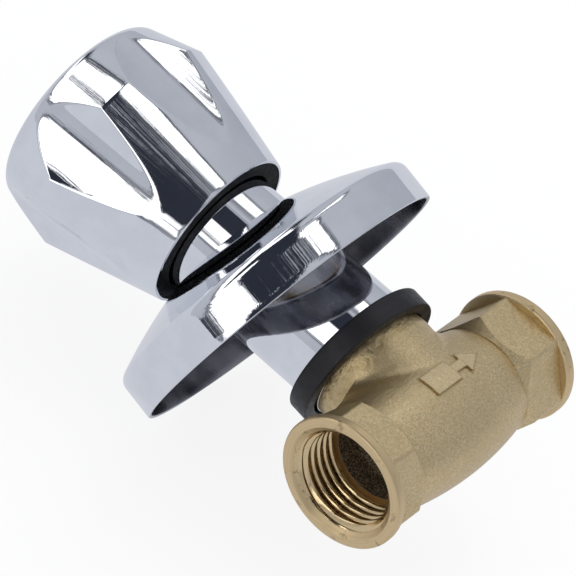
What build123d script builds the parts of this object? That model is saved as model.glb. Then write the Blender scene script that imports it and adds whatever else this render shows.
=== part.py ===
"""Concealed stop valve: a cast brass globe body with two threaded ports, a non-rising headwork under a chromed
sleeve, a loose wall flange and a chromed handle with six petal flutes.

Every piece is drawn upright on a bench, with the valve axis along Z, the ports along X and the handle on top.
The last step lays it down: the handle then points along -Y, and the wall and the pipes are behind it.
The origin is where the port axis crosses the valve axis. Sizes are in millimetres, angles in degrees."""

import os
from math import cos, pi, radians, sin

from build123d import *

# Body: ports
port_half_length = 28.1
collar_radius = 13.5
collar_width = 2.26
collar_edge = 0.6
hexagon_flats = 23.0
inlet_hexagon_start = 17.5
outlet_hexagon_start = 15.0
hexagon_corner_round = 1.0
hexagon_root_set_back = 0.6
hexagon_step_rise = 0.3
hexagon_step_run = 1.0
hexagon_corner_run = 2.4
casting_overlap = 0.5
thread_radius = 10.48
thread_depth = 11.2
mouth_chamfer = 1.1

# Body: belly, neck and waterway
belly_middle_radius = 13.25
belly_middle_shift = -1.5
belly_end_radius = 11.3
belly_outlet_share = 0.91
belly_middle_share = 0.93
belly_inlet_share = 0.97
belly_overlap = 1.5
belly_wall = 2.4
arrow_height = 0.4
arrow_rise = 0.9
arrow_tail = 6.4
arrow_pad = 7.4
arrow_pad_half_width = 2.5
arrow_neck = 3.2
arrow_neck_half_width = 1.0
arrow_head = 4.6
arrow_half_head = 2.6
arrow_corner_round = 0.4
neck_radius = 12.9
neck_root_radius = 11.2
neck_straight = 4.5
neck_top = 17.0
neck_blend = 3.2
spigot_radius = 11.9
spigot_top = 24.0
bonnet_bore_radius = 9.2
seat_bore_radius = 5.4
seat_lip_radius = 7.0
seat_height = 2.2
partition = 2.0
chamber_margin = 0.5

# Sleeve and its rubber ring
sleeve_radius = 13.0
sleeve_bore_radius = 12.0
sleeve_reach = 5.05
sleeve_chamfer = 0.3
ring_outer_radius = 15.95
ring_bore_radius = 13.42
ring_thickness = 4.6
ring_height = 18.06
ring_tilt = 3.62
ring_lean = 4.38
ring_edge_round = 0.4

# Wall flange
flange_rim_radius = 34.2
flange_rim_depth = 8.6
flange_hole_radius = 14.4
flange_depth = 16.3
flange_crown = 0.6
flange_sheet = 0.8
flange_corner = 2.4
flange_drop = 19.85
flange_shift_x = -0.66
flange_shift_y = -3.67
flange_tilt = 15.17

# Handle
handle_base = 55.45
handle_base_radius = 17.3
shoulder_rise = 25.85
shoulder_radius = 24.0
handle_height = 38.15
handle_top_radius = 20.6
handle_top_round = 2.4
flute_count = 6
flute_first_angle = 32.0
flute_radius = 21.0
flute_foot_rise = 6.55
flute_foot_radius = 19.0
flute_floor_slope = 4.8
flute_edge_round = 0.25
insert_radius = 16.7
insert_drop = 13.6
sleeve_well_margin = 1.0
insert_recess = 0.15
handle_web = 4.0
cap_radius = 9.0
cap_thickness = 1.6
cap_dome = 0.9
cap_plug_depth = 1.8
cap_plug_wall = 1.1
screw_well_radius = 6.5

# Headwork
bonnet_flats = 19.0
bonnet_hexagon_height = 6.5
bonnet_stem_radius = 7.4
bonnet_top = 45.0
bonnet_bottom = 12.6
bonnet_top_chamfer = 0.6
washer_overhang = 1.0
bonnet_washer_thickness = 1.5
carrier_flats = 11.6
carrier_top = 23.4
carrier_plate_radius = 7.2
carrier_plate_height = 2.4
seat_washer_radius = 7.0
seat_washer_thickness = 3.0
seat_gap = 0.05
washer_plate_radius = 3.9
washer_plate_thickness = 0.8
spindle_radius = 4.0
spindle_bottom = 15.0
thrust_collar_radius = 5.4
thrust_collar_height = 2.0
thrust_washer_thickness = 0.6
seal_groove_radius = 2.6
seal_groove_width = 1.7
seal_section = 1.4
first_seal_height = 36.2
seal_pitch = 4.0
slip_washer_thickness = 0.5
retaining_groove_radius = 3.1
retaining_ring_radius = 5.3
retaining_ring_thickness = 0.8
retaining_ring_gap = 4.6
spline_margin = 1.9
spindle_drop = 6.0
spline_teeth = 20
spline_depth = 0.5

# Screws
handle_screw_radius = 2.0
handle_screw_length = 18.0
handle_screw_head_radius = 3.9
handle_screw_head_height = 2.6
screw_washer_thickness = 0.8
washer_screw_radius = 1.6
washer_screw_grip = 1.5
washer_screw_head_radius = 2.9
washer_screw_head_height = 1.7
slot_width = 0.9
slot_depth = 0.9
head_edge_round = 0.3
screw_hole_margin = 0.3
washer_rim = 0.8

# Travel and clearances
lift = 4.4
spindle_clearance = 0.05
guide_clearance = 0.15
thread_clearance = 0.05
fit_clearance = 0.1
free_clearance = 0.6

# Heights that follow from the sizes above
shoulder_height = handle_base + shoulder_rise
handle_top = handle_base + handle_height
flute_foot_height = handle_base + flute_foot_rise
insert_top = handle_top - insert_drop
sleeve_top = handle_base + sleeve_reach
spline_height = sleeve_top + spline_margin
spindle_top = insert_top - spindle_drop
flange_back_height = handle_base - flange_drop
seat_washer_bottom = seat_height + seat_gap
carrier_bottom = seat_washer_bottom + seat_washer_thickness
carrier_hexagon_bottom = carrier_bottom + carrier_plate_height
bonnet_hexagon_bottom = spigot_top + bonnet_washer_thickness
bonnet_hexagon_top = bonnet_hexagon_bottom + bonnet_hexagon_height
guide_top = carrier_top + lift + free_clearance
carrier_bore_floor = spindle_bottom - lift - free_clearance
thrust_collar_top = guide_top + thrust_collar_height + fit_clearance
bonnet_ceiling = thrust_collar_top + thrust_washer_thickness
slip_washer_top = bonnet_top + slip_washer_thickness
retaining_ring_top = slip_washer_top + retaining_ring_thickness
web_bottom = insert_top
web_top = web_bottom + handle_web
cap_seat = handle_top - cap_thickness


def disc(radius, low, high):
    """A round bar about the valve axis between two heights."""
    return Pos(0, 0, low) * Cylinder(radius, high - low, align=(Align.CENTER, Align.CENTER, Align.MIN))


def ring(outer, inner, low, high):
    """A plain washer or tube about the valve axis."""
    return disc(outer, low, high) - disc(inner, low, high)


def hexagon_bar(flats, low, high):
    """A hexagonal bar about the valve axis, with the given size across its flats."""
    outline = RegularPolygon(flats / 2, 6, major_radius=False)
    return Pos(0, 0, low) * extrude(outline, high - low)


def turned(points):
    """Turns a closed outline of (radius, height) points about the valve axis."""
    return revolve(Plane.XZ * make_face(Polyline(*points, close=True)), Axis.Z)


def along_ports(shape):
    """Lays a shape that was made about Z onto the port axis, its top towards +X."""
    return Rot(0, 90, 0) * shape


def port_hexagon(start):
    """The cast hexagon behind a collar, with its corners softened and its inner end chamfered."""
    bar = hexagon_bar(hexagon_flats, start, port_half_length - collar_width + casting_overlap)
    bar = fillet(bar.edges().filter_by(Axis.Z), hexagon_corner_round)
    corner = hexagon_flats / 2 / cos(radians(30))
    draft = turned(
        [
            (0, start),
            (hexagon_flats / 2 - hexagon_root_set_back, start),
            (hexagon_flats / 2 + hexagon_step_rise, start + hexagon_step_run),
            (corner, start + hexagon_corner_run),
            (corner, port_half_length),
            (0, port_half_length),
        ]
    )
    return bar & draft


def port_collar():
    """The turned collar at the end of a port, with its edges eased."""
    collar = disc(collar_radius, port_half_length - collar_width, port_half_length)
    return fillet(collar.edges().filter_by(GeomType.CIRCLE), collar_edge)


def belly(growth=0.0):
    """The bulging middle of the casting: oval sections along the port axis, flatter from side to side."""
    low, high = -outlet_hexagon_start - belly_overlap, inlet_hexagon_start + belly_overlap
    stations = (
        (low, belly_end_radius, belly_outlet_share),
        (belly_middle_shift, belly_middle_radius, belly_middle_share),
        (high, belly_end_radius, belly_inlet_share),
    )
    sections = [
        Pos(x, 0, 0) * Rot(0, 90, 0) * Ellipse(radius + growth, share * radius + growth)
        for x, radius, share in stations
    ]
    return loft(sections)


def neck():
    """The round neck, which tapers down into the belly."""
    return turned(
        [
            (0, 0),
            (neck_root_radius, 0),
            (neck_radius, neck_top - neck_straight),
            (neck_radius, neck_top),
            (0, neck_top),
        ]
    )


def flow_arrow():
    """The raised flow arrow on the belly's +Y side, which points to the outlet: a wide tail, a neck and a head."""
    pad_end = arrow_tail - arrow_pad
    neck_end = pad_end - arrow_neck
    upper = [
        (arrow_tail, arrow_pad_half_width),
        (pad_end, arrow_pad_half_width),
        (pad_end, arrow_neck_half_width),
        (neck_end, arrow_neck_half_width),
        (neck_end, arrow_half_head),
        (neck_end - arrow_head, 0),
    ]
    lower = [(x, -side) for x, side in reversed(upper[:-1])]
    outline = make_face(Polyline(*upper, *lower, close=True))
    outline = fillet(outline.vertices(), arrow_corner_round)
    blank = Pos(0, 0, arrow_rise) * extrude(Plane.XZ * outline, -2 * belly_middle_radius)
    return belly(arrow_height) & blank


def waterway():
    """The two chambers, above and below the S-shaped partition, and the seat's bore between them."""
    inner = belly_end_radius - belly_wall
    hollow = along_ports(Cylinder(inner, 2 * (port_half_length - thread_depth + fit_clearance)))
    step = bonnet_bore_radius + chamber_margin
    far, floor = 2 * port_half_length, 2 * inner
    upper = Polyline(
        (-far, -floor),
        (-step - partition / 2, -floor),
        (-step - partition / 2, partition / 2),
        (step, partition / 2),
        (step, floor),
        (-far, floor),
        close=True,
    )
    lower = Polyline(
        (far, floor),
        (step + partition, floor),
        (step + partition, -partition / 2),
        (step, -partition / 2),
        (partition / 2 - step, -partition / 2),
        (partition / 2 - step, -floor),
        (far, -floor),
        close=True,
    )
    depth = 2 * floor
    upper_room = hollow & (Plane.XZ * extrude(make_face(upper), depth / 2, both=True))
    lower_room = hollow & (Plane.XZ * extrude(make_face(lower), depth / 2, both=True))
    return upper_room, lower_room


def valve_body():
    """The casting with its ports, neck, spigot, partition, seat and flow arrow."""
    casting = belly() + neck()
    blend = [edge for edge in casting.edges() if is_blend_edge(edge)]
    casting = fillet(blend, neck_blend)
    for turn, start in ((0, inlet_hexagon_start), (180, outlet_hexagon_start)):
        casting += Rot(0, 0, turn) * along_ports(port_hexagon(start) + port_collar())
    casting += disc(spigot_radius, neck_top, spigot_top)
    casting += flow_arrow()
    upper_room, lower_room = waterway()
    casting -= upper_room
    casting -= lower_room
    casting -= disc(bonnet_bore_radius, partition / 2, spigot_top)
    casting += ring(seat_lip_radius, seat_bore_radius, -partition / 2, seat_height)
    casting -= disc(seat_bore_radius, -partition, seat_height)
    bore = disc(thread_radius, port_half_length - thread_depth, port_half_length)
    mouth = Pos(0, 0, port_half_length - mouth_chamfer / 2) * Cone(
        thread_radius, thread_radius + mouth_chamfer, mouth_chamfer
    )
    for end in (0, 180):
        casting -= Rot(0, 0, end) * along_ports(bore)
        casting -= Rot(0, 0, end) * along_ports(mouth)
    return casting


def is_blend_edge(edge):
    """True for the edges where the neck runs into the belly."""
    box = edge.bounding_box()
    crosses = box.size.X > 1 and box.size.Y > 1 and box.size.Z > 1
    return crosses and box.min.Z > 0 and box.max.Z < neck_top


def tilted(shape, pivot_height, tilt, lean=0.0, shift_x=0.0, shift_y=0.0):
    """Tilts a shape made about the valve axis at height 0 about X and Y, then lifts it to its height."""
    return Pos(shift_x, shift_y, pivot_height) * Rot(tilt, lean, 0) * shape


def rubber_ring():
    """The rubber ring round the sleeve's foot, leaning as a loose ring does."""
    half = ring_thickness / 2
    shape = ring(ring_outer_radius, ring_bore_radius, -half, half)
    shape = fillet(shape.edges().filter_by(GeomType.CIRCLE), ring_edge_round)
    return tilted(shape, ring_height, -ring_tilt, -ring_lean)


def sleeve_tube():
    """The chromed tube from the neck's shoulder to the inside of the handle."""
    tube = ring(sleeve_radius, sleeve_bore_radius, neck_top, sleeve_top)
    top_edges = tube.edges().filter_by(GeomType.CIRCLE).group_by(Axis.Z)[-1]
    return chamfer(top_edges, sleeve_chamfer)


def flange_section(rim, shoulder, top, corner):
    """Half of the flange's outline: up the rim, round its corner and over the slightly crowned cone."""
    hole = flange_hole_radius
    crown = ((rim + hole) / 2, (shoulder + top) / 2 + flange_crown)
    outline = make_face(
        Polyline((hole, top), (0, top), (0, 0), (rim, 0), (rim, shoulder))
        + ThreePointArc((rim, shoulder), crown, (hole, top))
    )
    edge = [vertex for vertex in outline.vertices() if vertex.X > rim - 0.01 and vertex.Y > shoulder - 0.01]
    return revolve(Plane.XZ * fillet(edge, corner), Axis.Z)


def wall_flange():
    """The spun flange: a straight rim, a rounded corner and a shallow crowned cone with a hole for the sleeve."""
    outside = flange_section(flange_rim_radius, flange_rim_depth, flange_depth, flange_corner)
    inside = flange_section(
        flange_rim_radius - flange_sheet,
        flange_rim_depth - flange_sheet,
        flange_depth - flange_sheet,
        flange_corner - flange_sheet,
    )
    shape = outside - inside - disc(flange_hole_radius, 0, flange_depth)
    return tilted(shape, flange_back_height, -flange_tilt, 0, flange_shift_x, flange_shift_y)


def flute_cutter():
    """A long bar whose side cuts one petal: it leans out so that the petal narrows to a point below."""
    bar = Rot(0, flute_floor_slope, 0) * Cylinder(flute_radius, 4 * handle_height)
    return Pos(flute_foot_radius + flute_radius / cos(radians(flute_floor_slope)), 0, flute_foot_height) * bar


def handle_shell():
    """The handle: a cone up to its shoulder and a steeper cone to the top, with six petal flutes."""
    outline = make_face(
        Polyline(
            (0, handle_base),
            (handle_base_radius, handle_base),
            (shoulder_radius, shoulder_height),
            (handle_top_radius, handle_top),
            (0, handle_top),
            close=True,
        )
    )
    top_corner = [v for v in outline.vertices() if v.Y > handle_top - 0.1 and v.X > 1]
    outline = fillet(top_corner, handle_top_round)
    shape = revolve(Plane.XZ * outline, Axis.Z)
    for number in range(flute_count):
        shape -= Rot(0, 0, flute_first_angle + 360 / flute_count * number) * flute_cutter()
    ridges = [edge for edge in shape.edges() if is_flute_ridge(edge)]
    shape = fillet(ridges, flute_edge_round)
    shape -= disc(insert_radius + fit_clearance / 2, handle_base, web_bottom)
    shape -= disc(handle_screw_radius + screw_hole_margin, web_bottom, web_top)
    shape -= disc(screw_well_radius, web_top, handle_top)
    shape -= disc(cap_radius, cap_seat, handle_top)
    return shape


def is_flute_ridge(edge):
    """True for the edges that bound a flute, which run up the handle rather than round it."""
    box = edge.bounding_box()
    return box.size.Z > 1 and box.max.Z < handle_top - handle_top_round and edge.geom_type != GeomType.LINE


def splined_bar(radius, low, high):
    """A bar with straight V-shaped splines round it."""
    points = []
    for number in range(2 * spline_teeth):
        reach = radius if number % 2 == 0 else radius - spline_depth
        angle = pi / spline_teeth * number
        points.append((reach * cos(angle), reach * sin(angle)))
    return Pos(0, 0, low) * extrude(make_face(Polyline(*points, close=True)), high - low)


def handle_insert():
    """The plastic insert: a round plug with a well for the sleeve and a splined socket for the spindle."""
    shape = disc(insert_radius, handle_base + insert_recess, insert_top)
    shape -= disc(sleeve_radius + free_clearance, handle_base, sleeve_top + sleeve_well_margin)
    shape -= disc(spindle_radius + fit_clearance, sleeve_top, spline_height)
    shape -= splined_bar(spindle_radius + spindle_clearance, spline_height, spindle_top + fit_clearance)
    shape -= disc(handle_screw_radius + screw_hole_margin, spindle_top, insert_top)
    return shape


def slotted_screw(head_radius, head_height, shank_radius, length):
    """A slotted cheese-head screw that points down, with the underside of its head at height 0."""
    shape = disc(head_radius, 0, head_height) + disc(shank_radius, -length, 0)
    top = shape.edges().filter_by(GeomType.CIRCLE).group_by(Axis.Z)[-1]
    shape = fillet(top, head_edge_round)
    slot = Pos(0, 0, head_height - slot_depth / 2) * Box(3 * head_radius, slot_width, slot_depth)
    return shape - slot


def handle_screw():
    """Holds the handle on the spindle."""
    screw = slotted_screw(
        handle_screw_head_radius, handle_screw_head_height, handle_screw_radius, handle_screw_length
    )
    return Pos(0, 0, web_top + screw_washer_thickness) * screw


def screw_washer():
    """The flat washer under the handle screw's head."""
    return ring(
        handle_screw_head_radius + washer_rim, handle_screw_radius + guide_clearance, web_top,
        web_top + screw_washer_thickness,
    )


def index_cap():
    """The plain cap over the handle screw, slightly domed."""
    edge = cap_radius - fit_clearance
    sphere_radius = (edge**2 + cap_dome**2) / (2 * cap_dome)
    dome = Pos(0, 0, handle_top + cap_dome - sphere_radius) * Sphere(sphere_radius)
    cap = disc(edge, cap_seat, handle_top + cap_dome) & dome
    plug_radius = screw_well_radius - fit_clearance
    plug = ring(plug_radius, plug_radius - cap_plug_wall, cap_seat - cap_plug_depth, cap_seat)
    return cap + plug


def bonnet():
    """The headwork: a threaded skirt, a spanner hexagon, a stem, a hexagonal guide and the spindle's bore."""
    shape = disc(bonnet_bore_radius - thread_clearance, bonnet_bottom, bonnet_hexagon_bottom)
    shape += hexagon_bar(bonnet_flats, bonnet_hexagon_bottom, bonnet_hexagon_top)
    shape += disc(bonnet_stem_radius, bonnet_hexagon_top, bonnet_top)
    top = shape.edges().filter_by(GeomType.CIRCLE).group_by(Axis.Z)[-1]
    shape = chamfer(top, bonnet_top_chamfer)
    shape -= hexagon_bar(carrier_flats + 2 * guide_clearance, bonnet_bottom, guide_top)
    shape -= disc(thrust_collar_radius + fit_clearance, guide_top, bonnet_ceiling)
    shape -= disc(spindle_radius + spindle_clearance, bonnet_ceiling, bonnet_top)
    return shape


def bonnet_washer():
    """The fibre washer between the spigot and the bonnet's hexagon."""
    return ring(
        bonnet_flats / 2 + washer_overhang, bonnet_bore_radius + fit_clearance, spigot_top,
        bonnet_hexagon_bottom,
    )


def spindle():
    """The non-rising spindle, from its drive thread up to its splined and tapped end."""
    shape = disc(spindle_radius, spindle_bottom, spline_height)
    shape += disc(thrust_collar_radius, guide_top, thrust_collar_top - fit_clearance)
    shape += splined_bar(spindle_radius, spline_height, spindle_top)
    for number in range(2):
        middle = first_seal_height + seal_pitch * number
        shape -= ring(
            2 * spindle_radius, seal_groove_radius, middle - seal_groove_width / 2,
            middle + seal_groove_width / 2,
        )
    shape -= ring(2 * spindle_radius, retaining_groove_radius, slip_washer_top, retaining_ring_top)
    tapped_end = web_top + screw_washer_thickness - handle_screw_length - free_clearance
    shape -= disc(handle_screw_radius + thread_clearance, tapped_end, spindle_top)
    return shape


def spindle_seal(number):
    """An O-ring in one of the spindle's grooves."""
    middle = first_seal_height + seal_pitch * number
    outer = spindle_radius + spindle_clearance / 2
    return Pos(0, 0, middle) * Torus(outer - seal_section / 2, seal_section / 2)


def retaining_ring():
    """The open ring that holds the spindle up in the bonnet."""
    shape = ring(
        retaining_ring_radius, retaining_groove_radius + spindle_clearance, slip_washer_top, retaining_ring_top
    )
    gap = Pos(0, -retaining_ring_radius, (slip_washer_top + retaining_ring_top) / 2) * Box(
        retaining_ring_gap, 2 * retaining_ring_radius, 2 * retaining_ring_thickness
    )
    return shape - gap


def slip_washer():
    """The washer between the bonnet's top and the retaining ring."""
    return ring(
        retaining_ring_radius + washer_rim / 2, spindle_radius + spindle_clearance, bonnet_top, slip_washer_top
    )


def thrust_washer():
    """The slip washer above the spindle's thrust collar."""
    return ring(
        thrust_collar_radius, spindle_radius + spindle_clearance, thrust_collar_top - fit_clearance,
        bonnet_ceiling - fit_clearance,
    )


def jumper_carrier():
    """The hexagonal carrier, which the spindle's thread lifts and the bonnet keeps from turning."""
    shape = hexagon_bar(carrier_flats, carrier_hexagon_bottom, carrier_top)
    shape += disc(carrier_plate_radius, carrier_bottom, carrier_hexagon_bottom)
    shape -= disc(spindle_radius + spindle_clearance, carrier_bore_floor, carrier_top)
    shape -= disc(washer_screw_radius + thread_clearance, carrier_bottom, carrier_bore_floor)
    return shape


def seat_washer():
    """The rubber washer that shuts on the seat."""
    return ring(
        seat_washer_radius, washer_screw_radius + fit_clearance, seat_washer_bottom, carrier_bottom
    )


def washer_plate():
    """The small plate between the seat washer and its screw."""
    return ring(
        washer_plate_radius, washer_screw_radius + fit_clearance,
        seat_washer_bottom - washer_plate_thickness, seat_washer_bottom,
    )


def washer_screw():
    """The screw that holds the seat washer and its plate up to the carrier."""
    screw = slotted_screw(
        washer_screw_head_radius, washer_screw_head_height, washer_screw_radius,
        carrier_hexagon_bottom - seat_washer_bottom + washer_plate_thickness + washer_screw_grip,
    )
    return Pos(0, 0, seat_washer_bottom - washer_plate_thickness) * Rot(180, 0, 0) * screw


PIECES = {
    "valve_body": valve_body,
    "rubber_ring": rubber_ring,
    "sleeve_tube": sleeve_tube,
    "wall_flange": wall_flange,
    "handle_shell": handle_shell,
    "handle_insert": handle_insert,
    "handle_screw": handle_screw,
    "screw_washer": screw_washer,
    "index_cap": index_cap,
    "bonnet": bonnet,
    "bonnet_washer": bonnet_washer,
    "spindle": spindle,
    "lower_o_ring": lambda: spindle_seal(0),
    "upper_o_ring": lambda: spindle_seal(1),
    "thrust_washer": thrust_washer,
    "slip_washer": slip_washer,
    "retaining_ring": retaining_ring,
    "jumper_carrier": jumper_carrier,
    "seat_washer": seat_washer,
    "washer_plate": washer_plate,
    "washer_screw": washer_screw,
}

os.makedirs("parts", exist_ok=True)
for name, make in PIECES.items():
    laid_down = Rot(90, 0, 0) * make()
    export_step(laid_down, f"parts/{name}.step")
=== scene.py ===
"""Concealed stop valve: the visible surfaces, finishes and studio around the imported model.

The file is laid out as a Blender add-on and is run as a script. Shapes are worked out on a bench, with the
valve's axis as the height and the ports along X, and are then laid down so that the handle points along -Y,
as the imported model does. Lengths are in metres."""

from math import cos, hypot, pi, radians, sin, tan

import bpy
import numpy as np
from bpy.props import FloatProperty, FloatVectorProperty, IntProperty, PointerProperty
from mathutils import Euler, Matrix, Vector


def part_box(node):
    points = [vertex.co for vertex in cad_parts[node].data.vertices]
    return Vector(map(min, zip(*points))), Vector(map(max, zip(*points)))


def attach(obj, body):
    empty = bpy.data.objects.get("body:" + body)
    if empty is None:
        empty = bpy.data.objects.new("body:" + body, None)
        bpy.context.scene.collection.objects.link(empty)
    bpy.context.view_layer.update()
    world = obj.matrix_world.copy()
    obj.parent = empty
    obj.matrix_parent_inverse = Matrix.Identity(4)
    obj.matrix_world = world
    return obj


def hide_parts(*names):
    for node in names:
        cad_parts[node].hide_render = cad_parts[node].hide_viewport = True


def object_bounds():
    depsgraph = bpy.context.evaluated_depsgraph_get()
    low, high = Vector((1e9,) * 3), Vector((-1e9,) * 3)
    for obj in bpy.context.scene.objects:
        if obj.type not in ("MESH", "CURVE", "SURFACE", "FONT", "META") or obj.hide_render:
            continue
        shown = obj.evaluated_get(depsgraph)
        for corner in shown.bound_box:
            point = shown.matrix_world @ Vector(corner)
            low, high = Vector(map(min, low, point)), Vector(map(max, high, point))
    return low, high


bl_info = {
    "name": "Concealed Stop Valve",
    "version": (1, 0, 0),
    "blender": (4, 5, 0),
    "location": "3D View > Sidebar > Stop Valve",
    "description": "Surfaces, finishes and studio for a concealed stop valve",
    "category": "Object",
}

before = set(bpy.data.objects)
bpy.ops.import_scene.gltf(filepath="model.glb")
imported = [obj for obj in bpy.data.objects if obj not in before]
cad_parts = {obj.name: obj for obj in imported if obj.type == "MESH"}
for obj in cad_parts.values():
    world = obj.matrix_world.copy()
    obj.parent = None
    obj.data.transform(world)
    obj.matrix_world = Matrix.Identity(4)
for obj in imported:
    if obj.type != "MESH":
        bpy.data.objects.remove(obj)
cad_low, cad_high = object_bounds()

MM = 0.001
PORT_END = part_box("valve_body")[1].x
SLEEVE_TOP = -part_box("sleeve_tube")[0].y
HANDLE_BASE = -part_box("handle_shell")[1].y
HANDLE_TOP = -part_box("handle_shell")[0].y

# The parts of the casting that its finish follows
COLLAR_WIDTH = 2.2 * MM
THREAD_ROOT = 10.48 * MM
THREAD_DEPTH = 11.2 * MM

# The raised arrow: the height of its middle line, its tail and neck as middle, half length and half width
# along X, and its head
ARROW_HEIGHT = 0.9 * MM
ARROW_TAIL = (2.7 * MM, 3.7 * MM, 2.5 * MM)
ARROW_NECK = (-2.6 * MM, 1.8 * MM, 1.0 * MM)
ARROW_HEAD_BASE = -4.2 * MM
ARROW_HEAD_LENGTH = 4.6 * MM
ARROW_HALF_HEAD = 2.6 * MM

# Camera, lamp and floor
CAMERA_PLACE = (0.463758, 0.155914, 0.482547)
CAMERA_TURN = Euler([radians(angle) for angle in (43.3602, -17.8430, 130.6095)])
CAMERA_LENS = 228.45
SENSOR_WIDTH = 36
LAMP_PLACE = Vector((-0.25, -0.15, 0.55))
LAMP_AIM = Vector((0, -0.03, 0))
LAMP_SIZE = (0.35, 0.5)
LAMP_POWER = 1.2
FLOOR_HEIGHT = cad_low.z - 0.1 * MM
FLOOR_HALF = 3.0

# The tent: the way it brightens, and cards of a tone, an edge softness and corners in degrees right of and
# above the camera. A later card covers an earlier one.
TENT_SLOPE = (0.31, -0.48, 0.82)
FRINGE_TURN = radians(-39.7)
CARD_LIGHT = 1.8
CARD_FLAG = 0.05
CARDS = (
    (
        "white",
        0.03,
        ((-70, -16), (-62, 62), (-50, 104), (-14, 49), (2, -5), (-12, -14), (-32, -26), (-47, -22)),
    ),
    ("white", 0.02, ((14, 28), (34, 33), (33, 36), (27, 44), (21, 37))),
    ("white", 0.05, ((-61, 74), (-46, 67), (-43, 98), (-57, 102))),
    ("white", 0.03, ((14, 54), (20, 58), (36, 70), (22, 92))),
    ("dark", 0.04, ((-12, -4), (-41, 9), (-38, 63), (-20, 79), (4, 54), (20, 30))),
    ("dark", 0.03, ((-32, -17), (-12, 2), (11, 23), (16, 25), (-4, -15))),
    ("dark", 0.06, ((-42, 72), (-20, 80), (-26, 102), (-40, 101))),
    ("dark", 0.03, ((-40, -19), (-44, -24), (-51, -27), (-60, -30))),
    ("white", 0.03, ((-34, 13), (-39, -24), (-25, -32), (-16, 25), (-22, 29))),
    ("white", 0.02, ((-41, 67), (-34, 58), (-12, 66), (-32, 84))),
)


# Properties


def length(name, description, default):
    """A length property in metres."""
    return FloatProperty(name=name, description=description, default=default, unit="LENGTH", precision=5)


def angle(name, description, degrees):
    """An angle property, whose default is given in degrees."""
    return FloatProperty(name=name, description=description, default=radians(degrees), subtype="ANGLE")


def colour(name, description, default):
    """A colour property."""
    return FloatVectorProperty(
        name=name, description=description, default=default, subtype="COLOR", min=0, max=1
    )


class HandleSizes(bpy.types.PropertyGroup):
    """Sizes of the fluted handle."""

    base_radius: length("Base radius", "Radius at the open end", 17.3 * MM)
    shoulder_radius: length("Shoulder radius", "Radius at the widest ring", 24.0 * MM)
    shoulder_rise: length("Shoulder rise", "Height of the widest ring above the base", 25.85 * MM)
    top_radius: length("Top radius", "Radius of the end face before its edge is rounded", 20.6 * MM)
    top_round: length("Top rounding", "Radius of the rounded end edge", 2.4 * MM)
    cap_radius: length("Cap radius", "Radius of the seat for the cap", 9.0 * MM)
    cap_depth: length("Cap depth", "Depth of the seat for the cap", 1.6 * MM)
    well_radius: length("Well radius", "Radius of the well for the screw's head", 6.5 * MM)
    screw_radius: length("Screw hole radius", "Radius of the screw's hole in the web", 2.3 * MM)
    web_rise: length("Web rise", "Height of the web above the base", 24.55 * MM)
    web: length("Web thickness", "Thickness of the web", 4.0 * MM)
    cavity_radius: length("Cavity radius", "Radius of the hollow for the insert", 16.75 * MM)
    flute_radius: length("Flute radius", "Radius of the bar that cuts a flute", 21.0 * MM)
    flute_foot_radius: length("Flute foot radius", "Distance of the flute's floor at its foot", 19.0 * MM)
    flute_foot_rise: length("Flute foot rise", "Height of the flute's foot above the base", 6.55 * MM)
    flute_slope: angle("Flute slope", "Lean of the flute's floor", 4.8)
    flute_turn: angle("First flute", "Angle of the first flute from +X", 32)
    flutes: IntProperty(name="Flutes", description="Number of flutes", default=6, min=3, max=12)
    edge_blend: length("Edge softness", "How softly a flute meets the cone", 0.09 * MM)


class FlangeSizes(bpy.types.PropertyGroup):
    """Sizes and lie of the loose wall flange."""

    rim_radius: length("Rim radius", "Outer radius of the straight rim", 34.2 * MM)
    rim_depth: length("Rim depth", "Depth of the rim at its corner", 8.6 * MM)
    hole_radius: length("Hole radius", "Radius of the hole for the sleeve", 14.4 * MM)
    depth: length("Depth", "Depth from the back edge to the hole", 16.3 * MM)
    crown: length("Crown", "Bulge of the cone between rim and hole", 0.6 * MM)
    sheet: length("Sheet", "Thickness of the metal", 0.8 * MM)
    corner: length("Corner", "Radius of the outer corner", 2.4 * MM)
    lip: length("Lip", "Rounding of the metal's edges", 0.2 * MM)
    drop: length("Drop", "Distance of the back edge behind the handle's base", 19.85 * MM)
    shift_x: length("Shift along X", "How far the flange lies off the sleeve's axis along X", -0.66 * MM)
    shift_z: length("Shift along Z", "How far the flange lies off the sleeve's axis along Z", -3.67 * MM)
    tilt: angle("Tilt", "Lean of the flange", 15.17)


class SleeveSizes(bpy.types.PropertyGroup):
    """Sizes of the sleeve and its rubber ring."""

    radius: length("Sleeve radius", "Outer radius of the chromed sleeve", 13.0 * MM)
    bore: length("Sleeve bore", "Inner radius of the chromed sleeve", 12.0 * MM)
    foot: length("Sleeve foot", "Height of the sleeve's lower end", 17.0 * MM)
    mouth_round: length("Mouth rounding", "Rounding of the sleeve's upper edges", 0.3 * MM)
    ring_radius: length("Ring radius", "Outer radius of the rubber ring", 15.95 * MM)
    ring_bore: length("Ring bore", "Inner radius of the rubber ring", 13.42 * MM)
    ring_thickness: length("Ring thickness", "Thickness of the rubber ring", 4.6 * MM)
    ring_round: length("Ring rounding", "Rounding of the ring's edges", 0.4 * MM)
    ring_height: length("Ring height", "Height of the ring's middle", 18.06 * MM)
    ring_tilt: angle("Ring tilt", "Turn of the ring about X", 3.62)
    ring_lean: angle("Ring lean", "Turn of the ring about Z", 4.38)


class ThreadSizes(bpy.types.PropertyGroup):
    """Sizes of the pipe thread in both ports."""

    root_radius: length("Root radius", "Radius of the bore that the thread stands on", THREAD_ROOT)
    crest_radius: length("Crest radius", "Radius of the thread's crest", 9.32 * MM)
    pitch: length("Pitch", "Distance between two turns", 1.814 * MM)
    depth: length("Depth", "Length of the threaded part", THREAD_DEPTH)
    mouth: length("Mouth", "Length of the chamfered mouth before the first turn", 1.1 * MM)


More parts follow.
